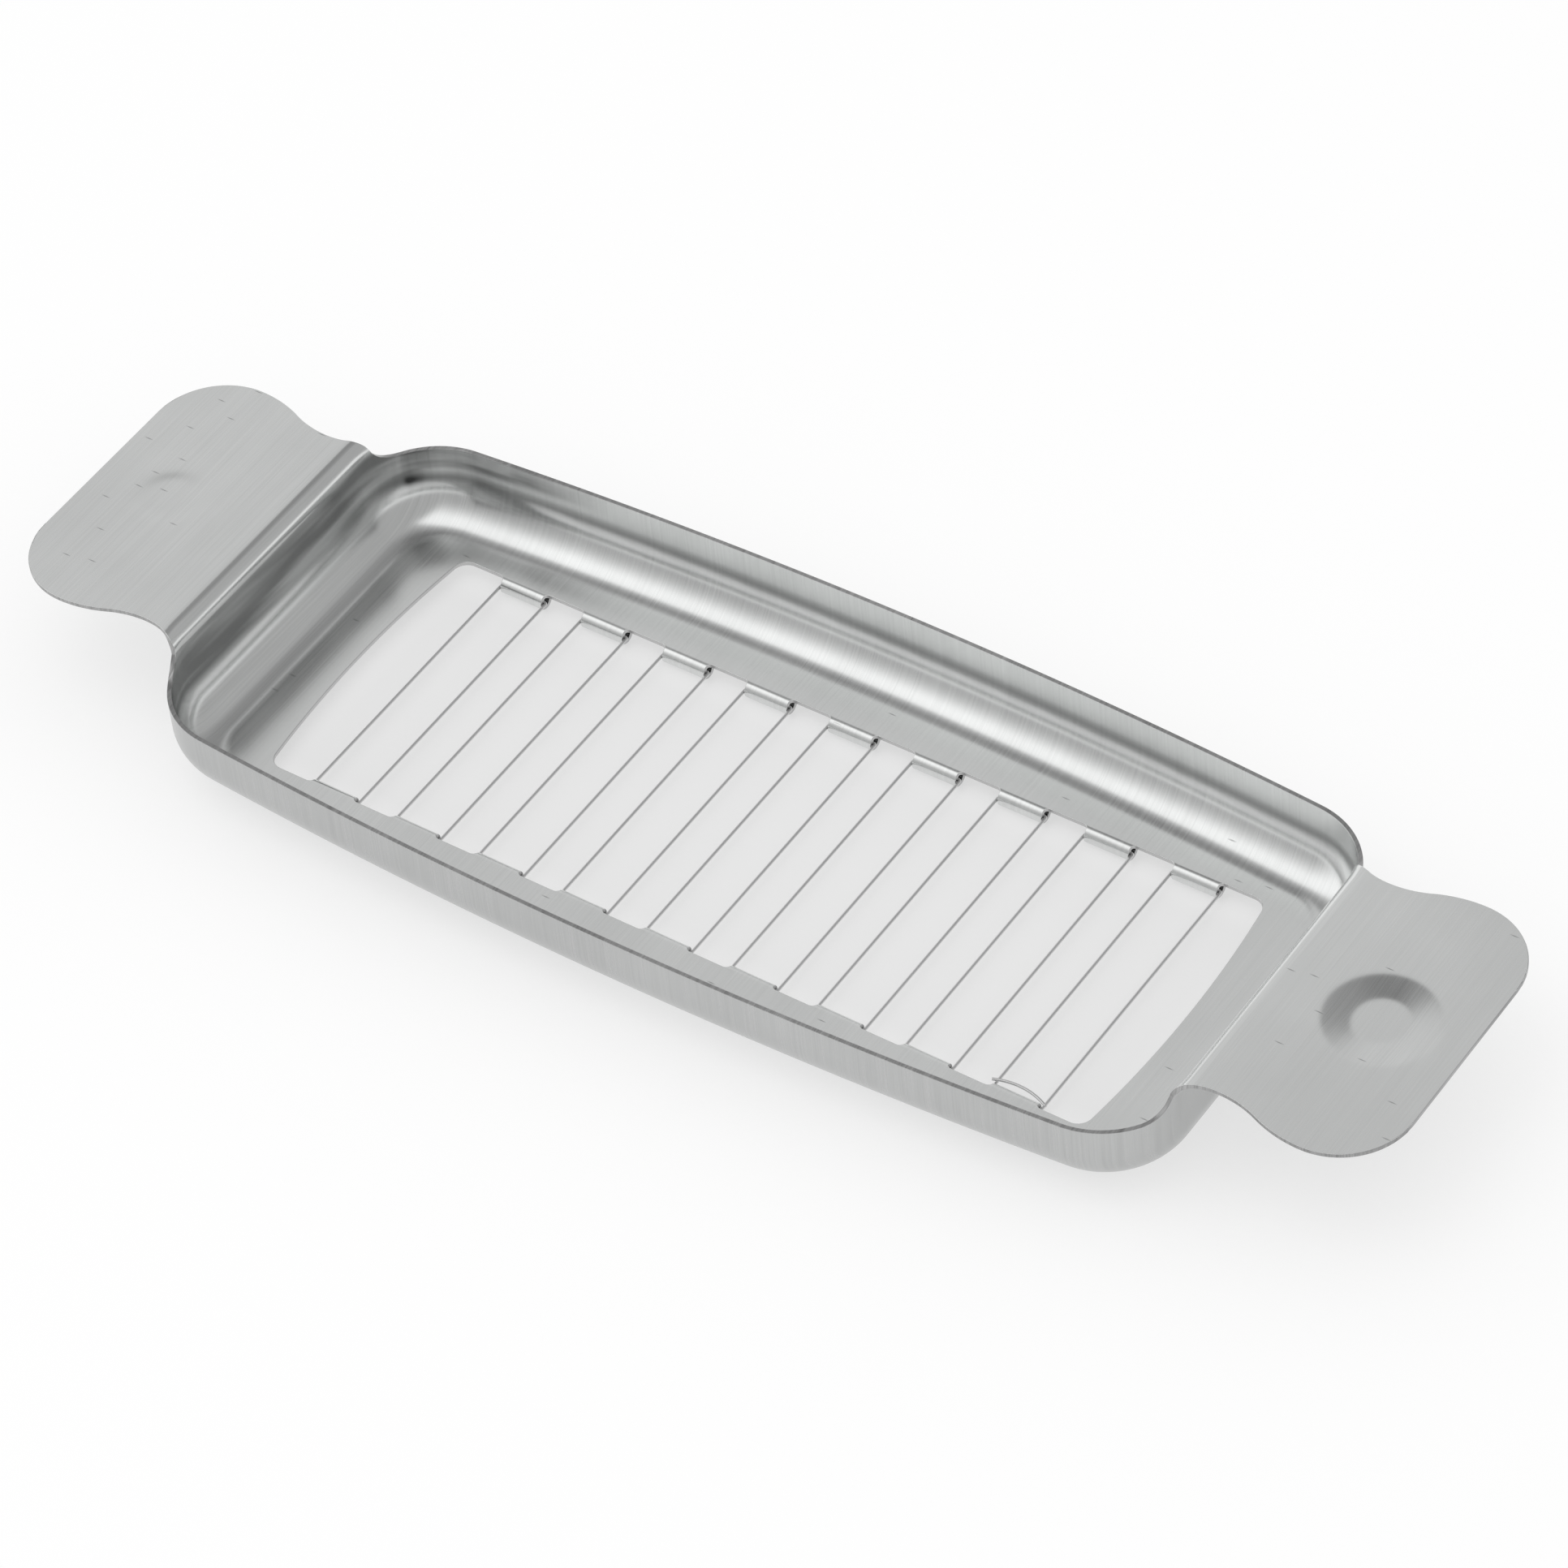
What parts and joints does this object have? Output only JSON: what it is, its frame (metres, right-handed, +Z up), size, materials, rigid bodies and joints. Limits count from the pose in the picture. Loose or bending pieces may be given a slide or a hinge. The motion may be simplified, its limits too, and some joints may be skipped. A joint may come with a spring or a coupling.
{
  "type": "wire butter slicer",
  "caption": "Stamped steel tray with a grip plate at each end and parallel cutting wires strung across its window, pressed down over a stick of butter to cut it into pats.",
  "frame": {"origin": "middle of the tray, on the plane of the tab barrels' lowest lines, which it stands on", "axes": "+X along its length, +Y across it to the far side, +Z up out of the tray"},
  "size_m": [0.202, 0.0648, 0.0175],
  "materials": {
    "sheet": "brushed across its width",
    "wire": "drawn"
  },
  "bodies": {
    "root": {"stamped_tray": "sheet", "wire_loop_1": "wire", "wire_loop_2": "wire", "wire_loop_3": "wire", "wire_loop_4": "wire", "wire_loop_5": "wire", "wire_loop_6": "wire", "wire_loop_7": "wire", "wire_loop_8": "wire", "wire_loop_9": "wire"}
  },
  "joints": []
}
